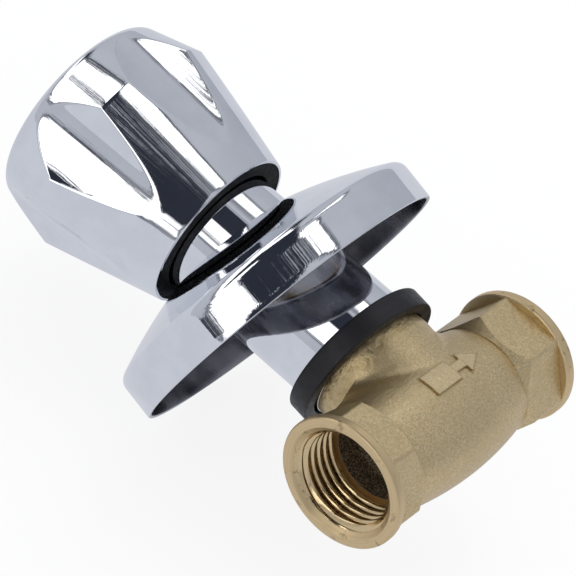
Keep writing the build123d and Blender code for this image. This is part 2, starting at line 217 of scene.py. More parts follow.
class FinishColours(bpy.types.PropertyGroup):
    """Colours of the finishes."""

    cast_brass: colour("Cast brass", "Blasted casting", (0.68, 0.535, 0.30))
    turned_brass: colour("Turned brass", "Machined faces and inner pieces", (0.80, 0.62, 0.36))
    chrome: colour("Chrome", "Polished plating", (0.80, 0.82, 0.86))
    rubber: colour("Rubber", "Ring, seat washer and seals", (0.010, 0.0095, 0.012))
    plastic: colour("Black plastic", "Handle insert", (0.005, 0.005, 0.0055))
    fibre: colour("Red fibre", "Washer under the bonnet", (0.36, 0.09, 0.05))
    slip_plastic: colour("White plastic", "Washer above the spindle's collar", (0.78, 0.78, 0.75))
    steel: colour("Steel", "Screw, its washer and the retaining ring", (0.56, 0.57, 0.60))


class StudioColours(bpy.types.PropertyGroup):
    """Tones of the studio that the chrome mirrors."""

    backdrop: colour("Backdrop", "Floor and background as the camera sees them", (1.0, 1.0, 1.0))
    floor_tone: colour("Floor tone", "Floor as the chrome mirrors it", (0.66, 0.675, 0.725))
    wall_tone: colour("Wall tone", "Tent behind and above the valve", (0.56, 0.575, 0.62))
    far_tone: colour("Far tone", "Tent on the valve's far side, low down", (0.36, 0.385, 0.44))
    dark_tone: colour("Dark tone", "Dark cards and the flags round white ones", (0.028, 0.032, 0.045))


# Meshes


def laid_down(points):
    """Turns bench points (x, side, height) into the model's frame, with height as -Y and side as Z."""
    return np.stack([points[..., 0], -points[..., 2], points[..., 1]], axis=-1)


def leaned(points, tilt, lean, shift_x, shift_side, height):
    """Leans bench points and moves them.

    (x, h) turns by the lean to (x cos - h sin, h cos + x sin), and then (s, h) turns by the tilt to
    (s cos + h sin, h cos - s sin)."""
    along, side, up = (points[..., i] for i in range(3))
    along, up = along * cos(lean) - up * sin(lean), up * cos(lean) + along * sin(lean)
    side, up = side * cos(tilt) + up * sin(tilt), up * cos(tilt) - side * sin(tilt)
    return np.stack([along + shift_x, side + shift_side, up + height], axis=-1)


def rounded(corners, radii, steps=5):
    """A closed outline of (radius, height) corners with its corners rounded.

    At a corner with an angle a between its sides, an arc of radius r starts r / tan(a / 2) along each side.
    The arc's points are the centre plus r times the turning direction."""
    corners = np.asarray(corners, float)
    outline = []
    neighbours = zip(np.roll(corners, 1, 0), corners, np.roll(corners, -1, 0), radii)
    for before, corner, after, radius in neighbours:
        if radius == 0:
            outline.append(corner[None])
            continue
        to_before = (before - corner) / np.linalg.norm(before - corner)
        to_after = (after - corner) / np.linalg.norm(after - corner)
        half = np.arccos(np.clip(to_before @ to_after, -1, 1)) / 2
        middle = to_before + to_after
        centre = corner + middle / np.linalg.norm(middle) * radius / sin(half)
        start = corner + to_before * radius / tan(half) - centre
        end = corner + to_after * radius / tan(half) - centre
        share = np.linspace(0, 1, steps + 1)[:, None]
        spread = np.arccos(np.clip(start @ end / radius**2, -1, 1))
        arc = (np.sin((1 - share) * spread) * start + np.sin(share * spread) * end) / sin(spread)
        outline.append(centre + arc)
    return np.concatenate(outline)


def finely_spaced(outline, gap):
    """Adds points to a closed outline so that no side is longer than the gap."""
    ends = np.roll(outline, -1, 0)
    counts = np.maximum(1, np.ceil(np.linalg.norm(ends - outline, axis=1) / gap).astype(int))
    starts = np.repeat(outline, counts, axis=0)
    sides = np.repeat(ends - outline, counts, axis=0)
    share = np.concatenate([np.arange(count) / count for count in counts])
    return starts + sides * share[:, None]


def carried_round(outline, steps):
    """Carries a closed outline round the axis: (r cos a, r sin a, h) for each outline point and angle."""
    turn = np.linspace(0, 2 * pi, steps + 1)[:-1]
    radius = outline[:, :1]
    height = np.broadcast_to(outline[:, 1:], (len(outline), steps))
    return np.stack([radius * np.cos(turn), radius * np.sin(turn), height], axis=-1)


def grid_faces(rows, columns, columns_close):
    """The corner numbers of a grid's quads. The rows close, and the columns close if asked."""
    row = np.arange(rows)[:, None]
    column = np.arange(columns if columns_close else columns - 1)[None, :]
    next_row, next_column = (row + 1) % rows, (column + 1) % columns
    corners = (
        row * columns + column,
        row * columns + next_column,
        next_row * columns + next_column,
        next_row * columns + column,
    )
    return np.stack([np.broadcast_to(c, (row.size, column.size)) for c in corners], axis=-1).reshape(-1, 4)


def grid_piece(name, points, materials, caps=False, sharp=40, row_material=None):
    """Makes a closed mesh piece from a grid of points whose rows close.

    The columns close as well, unless caps are asked for, which then shut the first and last column. A grid
    without caps may have a material number for each row. The faces are turned outwards by the sign of the
    enclosed volume, the sum of a . (b x c) / 6 over the triangles."""
    rows, columns = points.shape[:2]
    faces = grid_faces(rows, columns, not caps)
    flat = points.reshape(-1, 3)
    a, b, c, d = (flat[faces[:, i]] for i in range(4))
    volume = (a * np.cross(b, c)).sum() + (a * np.cross(c, d)).sum()
    if volume < 0:
        faces = faces[:, ::-1]
    face_list = faces.tolist()
    if caps:
        first = (np.arange(rows) * columns).tolist()
        last = (np.arange(rows) * columns + columns - 1).tolist()
        face_list += [first[::-1], last] if volume < 0 else [first, last[::-1]]
    mesh = bpy.data.meshes.new(name)
    mesh.from_pydata(flat.tolist(), [], face_list)
    for material in materials:
        mesh.materials.append(material)
    if row_material is not None:
        mesh.polygons.foreach_set("material_index", np.repeat(row_material, columns).astype(np.int32))
    mesh.shade_smooth()
    mesh.set_sharp_from_angle(angle=radians(sharp))
    mesh.update()
    piece = bpy.data.objects.new(name, mesh)
    bpy.context.scene.collection.objects.link(piece)
    return piece


# Surfaces


def handle_outline(s):
    """The handle's closed outline of (radius, height): cones, cap seat, screw well, web and cavity."""
    cap_seat = HANDLE_TOP - s.cap_depth
    web_bottom = HANDLE_BASE + s.web_rise
    web_top = web_bottom + s.web
    corners = [
        (s.base_radius, HANDLE_BASE),
        (s.shoulder_radius, HANDLE_BASE + s.shoulder_rise),
        (s.top_radius, HANDLE_TOP),
        (s.cap_radius, HANDLE_TOP),
        (s.cap_radius, cap_seat),
        (s.well_radius, cap_seat),
        (s.well_radius, web_top),
        (s.screw_radius, web_top),
        (s.screw_radius, web_bottom),
        (s.cavity_radius, web_bottom),
        (s.cavity_radius, HANDLE_BASE),
    ]
    radii = [0.2 * MM, 0.35 * MM, s.top_round, 0.2 * MM] + [0] * 7
    return finely_spaced(rounded(corners, radii, 6), 0.7 * MM)


def handle_surface(s):
    """The handle: its outline carried round the axis, with leaning bars cut from its side.

    On the outside the radius is the smaller of the cone's radius R and the distance F to the flute's bar,
    blended as -k ln(exp(-R / k) + exp(-F / k)). F solves (r cos a - c)^2 / p^2 + (r sin a)^2 / q^2 = 1,
    where c is the distance of the bar's axis at that height, q its radius and p = q / cos(slope). The
    columns crowd round the flute's edge, whose angle solves the same equation with r = R."""
    outline = handle_outline(s)
    radius, height = outline[:, :1], outline[:, 1:]
    outside = (radius > s.cavity_radius + 0.15 * MM) & (height > HANDLE_BASE)
    p, q = s.flute_radius / cos(s.flute_slope), s.flute_radius
    c = s.flute_foot_radius + p + (height - HANDLE_BASE - s.flute_foot_rise) * tan(s.flute_slope)
    k2 = radius**2 * (1 / p**2 - 1 / q**2)
    k1 = -2 * radius * c / p**2
    k0 = c**2 / p**2 + radius**2 / q**2 - 1
    edge = np.arccos(np.clip(2 * k0 / (-k1 + np.sqrt(k1**2 - 4 * k2 * k0)), -1, 1))
    sector = pi / s.flutes
    margin = 0.8 * MM / s.shoulder_radius
    edge = np.where(outside, np.clip(edge, 2.2 * margin, sector - 2 * margin), 0.3 * sector)
    floor_part = np.linspace(0, 1, 9)[:-1] * (edge - margin)
    edge_part = edge + np.linspace(-1, 1, 9)[:-1] * margin
    cone_part = edge + margin + np.linspace(0, 1, 7)[:-1] * (sector - edge - margin)
    half = np.concatenate([floor_part, edge_part, cone_part, np.full_like(edge, sector)], axis=1)
    local = np.concatenate([-half[:, :0:-1], half[:, :-1]], axis=1)
    petals = [local + 2 * sector * number for number in range(s.flutes)]
    turn = np.concatenate(petals, axis=1) + s.flute_turn
    from_middle = np.concatenate([local] * s.flutes, axis=1)
    a2 = (np.cos(from_middle) / p) ** 2 + (np.sin(from_middle) / q) ** 2
    a1 = -2 * c * np.cos(from_middle) / p**2
    a0 = c**2 / p**2 - 1
    reach = 2 * a0 / (-a1 + np.sqrt(np.maximum(a1**2 - 4 * a2 * a0, 0)))
    nearer = np.minimum(radius, reach)
    k = s.edge_blend
    blended = nearer - k * np.log(np.exp((nearer - radius) / k) + np.exp((nearer - reach) / k))
    distance = np.where(outside, blended, radius)
    height = np.broadcast_to(height, turn.shape)
    return np.stack([distance * np.cos(turn), distance * np.sin(turn), height], axis=-1)


def flange_surface(s):
    """The flange: a rim, a rounded corner and a crowned cone, carried round its own leaning axis.

    The cone's height at a share t from rim to hole is the straight line's plus 4 crown t (1 - t). The
    inside is the same outline set in by the sheet. Also says which rows are the unpolished inside."""
    points_a_side = 13

    def side(rim, shoulder, top):
        share = np.linspace(0, 1, points_a_side)
        height = shoulder + (top - shoulder) * share + 4 * s.crown * share * (1 - share)
        return np.stack([rim + (s.hole_radius - rim) * share, height], axis=1)

    outer = side(s.rim_radius, s.rim_depth, s.depth)
    inner = side(s.rim_radius - s.sheet, s.rim_depth - s.sheet, s.depth - s.sheet)[::-1]
    corners = np.concatenate([[(s.rim_radius, 0)], outer, inner, [(s.rim_radius - s.sheet, 0)]])
    radii = np.zeros(len(corners))
    radii[[0, points_a_side, points_a_side + 1, -1]] = s.lip
    radii[1] = s.corner
    radii[-2] = s.corner - s.sheet
    outline = finely_spaced(rounded(corners, radii, 6), 1.5 * MM)
    radius = outline[:, 0]
    past_hole = np.arange(len(outline)) > np.argmax(outline[:, 1])
    inside = past_hole & (radius > s.hole_radius + 0.3 * MM) & (radius < s.rim_radius - 0.25 * MM)
    points = leaned(carried_round(outline, 256), s.tilt, 0, s.shift_x, s.shift_z, HANDLE_BASE - s.drop)
    return points, inside


def sleeve_surface(s):
    """The sleeve: a long rectangle with a softened mouth, carried round the axis."""
    corners = [(s.radius, s.foot), (s.radius, SLEEVE_TOP), (s.bore, SLEEVE_TOP), (s.bore, s.foot)]
    radii = [0.05 * MM, s.mouth_round, s.mouth_round, 0.05 * MM]
    return carried_round(finely_spaced(rounded(corners, radii, 4), 4 * MM), 192)


def ring_surface(s):
    """The rubber ring: a rounded rectangle carried round its own leaning axis."""
    half = s.ring_thickness / 2
    corners = [(s.ring_radius, -half), (s.ring_radius, half), (s.ring_bore, half), (s.ring_bore, -half)]
    outline = finely_spaced(rounded(corners, [s.ring_round] * 4, 5), 0.8 * MM)
    return leaned(carried_round(outline, 160), s.ring_tilt, s.ring_lean, 0, 0, s.ring_height)


def thread_surface(s):
    """One right-handed ridge wound along a port, from its inner end to the chamfer that cuts it off.

    A profile point lies at the distance x = start + pitch a / 2 pi + offset along the port and at the
    radius back - g depth (back - crest), where g rises from nearly 0 to 1 over the first third of a turn.
    The chamfer's cone has the radius root + x - (end - mouth). Every point keeps to the larger of the two,
    and none goes past the back."""
    sunk = 0.08 * MM
    before_first_turn = 0.55 * MM
    past_mouth = 0.8 * MM
    turns_of_growth = 0.35
    steps_a_turn = 144
    back = s.root_radius + sunk
    flank = np.array([0.10, 0.24, 0.42, 0.60, 0.74, 0.87]) * MM
    flank_depth = np.array([1.0, 0.94, 0.70, 0.45, 0.22, 0.0])
    offsets = np.concatenate([-flank[::-1], flank, [0]])
    depth = np.concatenate([flank_depth[::-1], flank_depth, [0]])
    start = PORT_END - s.depth + before_first_turn
    mouth = PORT_END - s.mouth
    turns = (mouth + past_mouth - start) / s.pitch
    wound = np.linspace(0, turns, int(steps_a_turn * turns))
    x = np.minimum(start + s.pitch * wound[None, :] + offsets[:, None], mouth + 0.07 * MM)
    grown = np.clip(wound / turns_of_growth, 0.03, 1)
    ridge = back - depth[:, None] * (back - s.crest_radius) * (grown * grown * (3 - 2 * grown))[None, :]
    cone = s.root_radius + x - mouth
    radius = np.minimum(np.maximum(ridge, cone), back)
    turn = 2 * pi * wound[None, :]
    return np.stack([x, radius * np.cos(turn), radius * np.sin(turn)], axis=-1)


# Shader nodes


def node(tree, kind, links=None, **settings):
    """Adds a node, sets its properties and its inputs, and links what is given as sockets."""
    made = tree.nodes.new(kind)
    for name, value in settings.items():
        setattr(made, name, value)
    for name, value in (links or {}).items():
        if isinstance(value, bpy.types.NodeSocket):
            tree.links.new(value, made.inputs[name])
        else:
            made.inputs[name].default_value = value
    return made


def object_place(tree):
    """The Object coordinates socket."""
    return node(tree, "ShaderNodeTexCoord").outputs["Object"]


def axes_of(tree, vector):
    """The X, Y and Z sockets of a vector."""
    return node(tree, "ShaderNodeSeparateXYZ", {0: vector}).outputs


def stretched(tree, place, scale):
    """Coordinates scaled by an own factor along each axis."""
    return node(tree, "ShaderNodeMapping", {"Vector": place, "Scale": scale}).outputs[0]


def noise(tree, place, scale, detail=2.0, roughness=0.5):
    """A noise value on the given coordinates."""
    links = {"Vector": place, "Scale": scale, "Detail": detail, "Roughness": roughness}
    return node(tree, "ShaderNodeTexNoise", links).outputs["Fac"]


def cell_number(tree, cells):
    """A random number from 0 to 1 for each cell of a Voronoi pattern."""
    return node(tree, "ShaderNodeSeparateColor", {0: cells.outputs["Color"]}).outputs[0]


def span(tree, value, low, high, new_low=0.0, new_high=1.0, smooth=True):
    """Maps a value from one span to another, held at its ends."""
    links = {"Value": value, "From Min": low, "From Max": high, "To Min": new_low, "To Max": new_high}
    kind = "SMOOTHSTEP" if smooth else "LINEAR"
    return node(tree, "ShaderNodeMapRange", links, interpolation_type=kind).outputs["Result"]


def maths(tree, operation, first, second=0.0):
    """One arithmetic step."""
    return node(tree, "ShaderNodeMath", {0: first, 1: second}, operation=operation).outputs[0]


def total(tree, *values):
    """The sum of some values."""
    result = values[0]
    for value in values[1:]:
        result = maths(tree, "ADD", result, value)
    return result


def product(tree, *values):
    """The product of some values."""
    result = values[0]
    for value in values[1:]:
        result = maths(tree, "MULTIPLY", result, value)
    return result


def mixed(tree, share, first, second):
    """Mixes two colours."""
    made = node(tree, "ShaderNodeMix", data_type="RGBA")
    for number, value in ((0, share), (6, first), (7, second)):
        if isinstance(value, bpy.types.NodeSocket):
            tree.links.new(value, made.inputs[number])
        else:
            made.inputs[number].default_value = value if number == 0 else (*value, 1)
    return made.outputs[2]


def bumped(tree, shader, height, distance):
    """Links a height to the shader's normal."""
    bump = node(tree, "ShaderNodeBump", {"Height": height, "Distance": distance})
    tree.links.new(bump.outputs["Normal"], shader.inputs["Normal"])


def toned(base, share):
    """A darker or lighter tone of a colour."""
    return tuple(part * share for part in base)


# Finishes


def new_material(name, base, metallic=0.0, roughness=0.5):
    """A material with a principled shader of one colour, for its patterns to be linked to."""
    material = bpy.data.materials.new(name)
    material.use_nodes = True
    shader = material.node_tree.nodes["Principled BSDF"]
    shader.inputs["Base Color"].default_value = (*base, 1)
    shader.inputs["Metallic"].default_value = metallic
    shader.inputs["Roughness"].default_value = roughness
    return material, material.node_tree, shader


def port_zones(tree, parts):
    """How far a point lies along and off the ports' axis, and where the casting is machined or a waterway.

    The collars are machined, and so is the bore from 11 mm off the middle outwards. The waterway starts
    behind the thread. Each zone is 1 inside and 0 outside."""
    along = maths(tree, "ABSOLUTE", parts["X"])
    off_axis = node(tree, "ShaderNodeCombineXYZ", {"Y": parts["Y"], "Z": parts["Z"]}).outputs[0]
    reach = node(tree, "ShaderNodeVectorMath", {0: off_axis}, operation="LENGTH").outputs["Value"]
    collar = span(tree, along, PORT_END - COLLAR_WIDTH - 0.15 * MM, PORT_END - COLLAR_WIDTH)
    in_bore = span(tree, reach, THREAD_ROOT + 0.14 * MM, THREAD_ROOT + 0.07 * MM)
    bore = product(tree, in_bore, span(tree, along, 9 * MM, 11 * MM))
    thread_end = PORT_END - THREAD_DEPTH
    behind_thread = span(tree, along, thread_end - 0.05 * MM, thread_end - 0.2 * MM)
    in_waterway = span(tree, reach, THREAD_ROOT - 0.08 * MM, THREAD_ROOT - 0.28 * MM)
    return along, reach, maths(tree, "MAXIMUM", collar, bore), product(tree, in_waterway, behind_thread)


def arrow_distance(tree, parts):
    """How far a point of the casting lies outside the raised arrow's outline, and less than 0 inside.

    The outline is a wide tail, a narrow neck and a head. A rectangle's distance is the larger of
    |x - middle| less its half length and |side| less its half width. The head's is the larger of its base's
    and its slanted side's, and the arrow's is the smallest of the three."""
    side = maths(tree, "ABSOLUTE", maths(tree, "ADD", parts["Y"], ARROW_HEIGHT))
    shapes = []
    for middle, half_length, half_width in (ARROW_TAIL, ARROW_NECK):
        off_middle = maths(tree, "ABSOLUTE", maths(tree, "SUBTRACT", parts["X"], middle))
        past_end = maths(tree, "SUBTRACT", off_middle, half_length)
        shapes.append(maths(tree, "MAXIMUM", past_end, maths(tree, "SUBTRACT", side, half_width)))
    slant_length = hypot(ARROW_HEAD_LENGTH, ARROW_HALF_HEAD)
    from_tip = maths(tree, "ADD", parts["X"], ARROW_HEAD_LENGTH - ARROW_HEAD_BASE)
    slant = maths(
        tree,
        "SUBTRACT",
        product(tree, side, ARROW_HEAD_LENGTH / slant_length),
        product(tree, from_tip, ARROW_HALF_HEAD / slant_length),
    )
    head = maths(tree, "MAXIMUM", slant, maths(tree, "SUBTRACT", parts["X"], ARROW_HEAD_BASE))
    return maths(tree, "MINIMUM", maths(tree, "MINIMUM", *shapes), head)


def cast_brass(colours):
    """Blasted brass casting, machined at the ports and dull in the waterway.

    It has a grain of about 0.3 mm, sand dimples and few glints painted as lighter grains. The neck under
    the ring has painted shade with tarnished mottling, what faces the handle has painted shade, and the
    raised arrow has painted shade round its outline and a painted highlight on its top. Machined faces have
    turning marks and nicks."""
    material, tree, shader = new_material("Cast brass", colours.cast_brass, 0.9, 0.40)
    place = object_place(tree)
    parts = axes_of(tree, place)
    along, reach, machined, waterway = port_zones(tree, parts)
    grain = noise(tree, place, 3000, 2, 0.55)
    sand = noise(tree, place, 1100)
    lumps = noise(tree, place, 430)
    cloud = noise(tree, place, 90, 3)
    neck = span(tree, parts["Y"], -9 * MM, -14.5 * MM)

    casting = mixed(
        tree, span(tree, grain, 0.3, 0.7), toned(colours.cast_brass, 0.80), toned(colours.cast_brass, 1.14)
    )
    # Painted glints: a few random grains get a lighter colour.
    sparkle = cell_number(tree, node(tree, "ShaderNodeTexVoronoi", {"Vector": place, "Scale": 2600}))
    casting = mixed(tree, span(tree, sparkle, 0.90, 1.0, 0.0, 0.3), casting, (0.92, 0.84, 0.62))
    casting = mixed(tree, span(tree, cloud, 0.35, 0.75, 0.0, 0.4), casting, toned(colours.cast_brass, 0.82))
    # Painted shade: faces turned towards the handle are darkened, and so is the neck under the ring, with
    # tarnished mottling there.
    facing = axes_of(tree, node(tree, "ShaderNodeNewGeometry").outputs["Normal"])
    painted_handle_side_shade = span(tree, facing["Y"], -0.05, -0.75, 0.0, 0.5)
    painted_shade_and_tarnish = maths(tree, "MAXIMUM", product(tree, neck, span(tree, lumps, 0.30, 0.62, 0.8, 0.1)), painted_handle_side_shade)
    casting = mixed(tree, painted_shade_and_tarnish, casting, (0.42, 0.31, 0.15))
    arrow = arrow_distance(tree, parts)
    arrow_side = span(tree, parts["Z"], 8 * MM, 9 * MM)
    # Painted shade in a thin band just outside the raised arrow's outline, mottled by the lumps.
    painted_arrow_shade = product(
        tree,
        span(tree, arrow, 0.50 * MM, 0.08 * MM),
        span(tree, arrow, -0.25 * MM, 0.0, 0.0, 0.62),
        span(tree, lumps, 0.25, 0.7, 1.0, 0.45),
        arrow_side,
    )
    casting = mixed(tree, painted_arrow_shade, casting, (0.30, 0.21, 0.10))
    # Painted highlight: the raised arrow's top is lighter.
    painted_arrow_highlight = product(tree, span(tree, arrow, -0.1 * MM, -0.35 * MM, 0.0, 0.35), arrow_side)
    casting = mixed(tree, painted_arrow_highlight, casting, (0.86, 0.71, 0.44))

    swirl = {"X": product(tree, reach, 4000.0), "Y": product(tree, along, 1500.0)}
    rings = noise(tree, node(tree, "ShaderNodeCombineXYZ", swirl).outputs[0], 1.0)
    nick = span(tree, noise(tree, place, 520, 4, 0.65), 0.60, 0.68)
    duller = toned(colours.turned_brass, 0.88)
    turned = mixed(tree, span(tree, rings, 0.3, 0.7), duller, colours.turned_brass)
    turned = mixed(tree, product(tree, nick, 0.6), turned, (0.36, 0.26, 0.13))
    # The waterway's darker, grainy colour is partly painted shade of the deep bore and partly its rough,
    # unmachined skin.
    scale = mixed(tree, span(tree, grain, 0.42, 0.66), (0.15, 0.12, 0.085), (0.62, 0.52, 0.38))
    base = mixed(tree, waterway, mixed(tree, machined, casting, turned), scale)
    tree.links.new(base, shader.inputs["Base Color"])
    tree.links.new(span(tree, machined, 0, 1, 0.9, 1.0), shader.inputs["Metallic"])
    rough = total(tree, product(tree, grain, 0.16), 0.31, product(tree, machined, 0.05))
    rough = total(tree, rough, product(tree, waterway, 0.25))
    tree.links.new(rough, shader.inputs["Roughness"])

    swell = product(tree, lumps, span(tree, neck, 0, 1, 1.0, 2.6))
    relief = total(tree, product(tree, grain, 0.4), product(tree, sand, 0.7), swell)
    kept = maths(tree, "SUBTRACT", 1.0, product(tree, machined, 0.93))
    cut = maths(tree, "SUBTRACT", product(tree, rings, 0.08), product(tree, nick, 0.5))
    relief = total(tree, product(tree, relief, kept), product(tree, cut, machined))
    bumped(tree, shader, relief, 0.12 * MM)
    return material


def turned_brass(colours):
    """Machined brass with fine turning marks across the axis."""
    material, tree, shader = new_material("Turned brass", colours.turned_brass, 1.0, 0.24)
    mark = noise(tree, stretched(tree, object_place(tree), (300, 9000, 300)), 1.0)
    base = mixed(tree, span(tree, mark, 0.3, 0.7), toned(colours.turned_brass, 0.8), colours.turned_brass)
    tree.links.new(base, shader.inputs["Base Color"])
    tree.links.new(span(tree, mark, 0.2, 0.8, 0.18, 0.32), shader.inputs["Roughness"])
    bumped(tree, shader, mark, 0.01 * MM)
    return material


def thread_brass(colours):
    """Bright cut thread."""
    material, tree, shader = new_material("Cut thread brass", colours.turned_brass, 1.0, 0.16)
    mark = noise(tree, object_place(tree), 1400)
    base = mixed(tree, mark, toned(colours.turned_brass, 0.8), colours.turned_brass)
    tree.links.new(base, shader.inputs["Base Color"])
    tree.links.new(span(tree, mark, 0.3, 0.7, 0.12, 0.22), shader.inputs["Roughness"])
    bumped(tree, shader, mark, 0.008 * MM)
    return material


def polished_chrome(colours):
    """Polished plating: nearly a mirror, faintly mottled and hazy, with hairline marks and rare pits."""
    made = bpy.data.materials.get("Polished chrome")
    if made:
        return made
    material, tree, shader = new_material("Polished chrome", colours.chrome, 1.0, 0.03)
    place = object_place(tree)
    haze = noise(tree, place, 55, 3)
    tree.links.new(span(tree, haze, 0.35, 0.8, 0.018, 0.055), shader.inputs["Roughness"])
    mottle = span(tree, noise(tree, place, 150, 5, 0.6), 0.35, 0.65)
    plate = mixed(tree, mottle, toned(colours.chrome, 0.965), toned(colours.chrome, 1.02))
    cells = node(tree, "ShaderNodeTexVoronoi", {"Vector": place, "Scale": 130})
    few = span(tree, cell_number(tree, cells), 0.93, 0.94)
    pit = product(tree, span(tree, cells.outputs["Distance"], 0.045, 0.03), few, 0.7)
    tree.links.new(mixed(tree, pit, plate, (0.10, 0.11, 0.14)), shader.inputs["Base Color"])
    hairlines = noise(tree, stretched(tree, place, (900, 60, 900)), 1.0, 3)
    relief = total(tree, hairlines, product(tree, noise(tree, place, 260), 2.0))
    bumped(tree, shader, relief, 0.0035 * MM)
    return material


def unpolished_chrome():
    """The flange's inside: plated, not polished, unevenly hazy, and dark, partly as painted shade."""
    material, tree, shader = new_material("Unpolished chrome", (0.28, 0.285, 0.31), 1.0, 0.28)
    place = object_place(tree)
    haze = noise(tree, place, 70, 3, 0.55)
    # The tones darker than the polished plating are partly painted shade of the flange's hollow.
    base = mixed(tree, span(tree, haze, 0.35, 0.65), (0.19, 0.19, 0.21), (0.46, 0.46, 0.49))
    tree.links.new(base, shader.inputs["Base Color"])
    tree.links.new(span(tree, haze, 0.3, 0.75, 0.16, 0.36), shader.inputs["Roughness"])
    bumped(tree, shader, noise(tree, place, 300, 3), 0.01 * MM)
    return material


def moulded(name, base, roughness, scale=900, relief=0.02 * MM, shine=0.5):
    """A moulded rubber, plastic or fibre with a fine skin and slight mottling."""
    material, tree, shader = new_material(name, base, 0.0, roughness)
    shader.inputs["Specular IOR Level"].default_value = shine
    place = object_place(tree)
    skin = noise(tree, place, scale, 3, 0.6)
    mottle = span(tree, noise(tree, place, scale / 9), 0.3, 0.7)
    tree.links.new(mixed(tree, mottle, toned(base, 0.75), toned(base, 1.2)), shader.inputs["Base Color"])
    rough = span(tree, skin, 0.25, 0.75, roughness - 0.07, roughness + 0.08)
    tree.links.new(rough, shader.inputs["Roughness"])
    bumped(tree, shader, skin, relief)
    return material


def black_rubber(colours):
    """Smooth rubber of the ring, the seat washer and the seals."""
    made = bpy.data.materials.get("Black rubber")
    return made or moulded("Black rubber", colours.rubber, 0.46, 800, shine=0.38)


def plated_steel(colours):
    """Plated steel of the handle's screw, its washer and the retaining ring."""
    material, tree, shader = new_material("Plated steel", colours.steel, 1.0, 0.3)
    mark = noise(tree, object_place(tree), 1200, 3)
    tree.links.new(span(tree, mark, 0.3, 0.7, 0.22, 0.38), shader.inputs["Roughness"])
    bumped(tree, shader, mark, 0.01 * MM)
    return material


def dress(node_name, material):
    """Gives a carried-over node its finish."""
    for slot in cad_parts[node_name].material_slots:
        slot.material = material


# Studio


def tent_direction(right, up):
    """The direction that lies some degrees to the right of and above the camera, as seen from the valve.

    With t the length of (right, up), it is cos t times the way back to the camera plus sin t times the
    turning direction in the camera's own right and up."""
    turn = hypot(right, up)
    axes = CAMERA_TURN.to_matrix().transposed()
    side = (axes[0] * right + axes[1] * up) / turn
    return axes[2] * cos(radians(turn)) + side * sin(radians(turn))


def studio_card(tree, direction, margin, corners, softness):
    """How far a direction falls inside a card with straight sides: 1 inside, 0 outside, soft at the edge.

    Each side spans the plane through the valve and two corners. A direction is compared with its normal, and
    the margin moves every side outwards."""
    corners = [tent_direction(*corner) for corner in corners]
    middle = sum(corners, Vector())
    sides = []
    for first, second in zip(corners, corners[1:] + corners[:1]):
        normal = first.cross(second).normalized()
        normal *= 1 if normal.dot(middle) > 0 else -1
        reach = node(tree, "ShaderNodeVectorMath", {0: direction, 1: normal}, operation="DOT_PRODUCT")
        sides.append(span(tree, total(tree, reach.outputs["Value"], margin), -softness, softness))
    return product(tree, *sides)


def tent_tone(tree, tones):
    """The tent's colour in each direction: a slope of tone, the flags of the white cards, and the cards.

    The cards' edges are ragged by a noise that is drawn out along the valve."""
    direction = node(tree, "ShaderNodeTexCoord").outputs["Generated"]
    slope = node(tree, "ShaderNodeVectorMath", {0: direction, 1: TENT_SLOPE}, operation="DOT_PRODUCT")
    slope = span(tree, slope.outputs["Value"], -1, 1, smooth=False)
    turned = node(tree, "ShaderNodeMapping", {"Vector": direction, "Rotation": (0, 0, FRINGE_TURN)})
    fringe = noise(tree, stretched(tree, turned.outputs[0], (6, 60, 60)), 1.0, 3, 0.6)
    ragged = product(tree, maths(tree, "SUBTRACT", fringe, 0.5), 0.19)
    flagged = total(tree, ragged, CARD_FLAG)
    tent = mixed(tree, slope, tones.far_tone, tones.wall_tone)
    for kind, _, corners in CARDS:
        if kind == "white":
            flag = product(tree, studio_card(tree, direction, flagged, corners, CARD_FLAG), 0.95)
            tent = mixed(tree, flag, tent, tones.dark_tone)
    card_tones = {"white": (CARD_LIGHT,) * 3, "dark": tones.dark_tone}
    for kind, softness, corners in CARDS:
        tent = mixed(tree, studio_card(tree, direction, ragged, corners, softness), tent, card_tones[kind])
    return tent


def mirror_rays(tree):
    """The Is Camera Ray socket, and 1 for the rays that mirrors and glass send out."""
    path = node(tree, "ShaderNodeLightPath").outputs
    return path["Is Camera Ray"], maths(tree, "MAXIMUM", path["Is Glossy Ray"], path["Is Transmission Ray"])


def shader_mix(tree, share, first, second):
    """Mixes two shader nodes."""
    mix = node(tree, "ShaderNodeMixShader", {0: share})
    tree.links.new(first.outputs[0], mix.inputs[1])
    tree.links.new(second.outputs[0], mix.inputs[2])
    return mix


def build_world(tones):
    """The world: white to the camera, plain to matt surfaces, and the tent with its cards to mirrors."""
    world = bpy.data.worlds.new("Studio")
    bpy.context.scene.world = world
    world.use_nodes = True
    tree = world.node_tree
    tree.nodes.clear()
    camera_ray, mirror_ray = mirror_rays(tree)
    plain = node(tree, "ShaderNodeBackground", {"Color": (0.95, 0.96, 1.0, 1), "Strength": 0.9})
    seen = node(tree, "ShaderNodeBackground", {"Color": (*tones.backdrop, 1), "Strength": 1.0})
    mirrored = node(tree, "ShaderNodeBackground", {"Color": tent_tone(tree, tones), "Strength": 1.0})
    whole = shader_mix(tree, camera_ray, shader_mix(tree, mirror_ray, plain, mirrored), seen)
    output = node(tree, "ShaderNodeOutputWorld")
    tree.links.new(whole.outputs[0], output.inputs["Surface"])


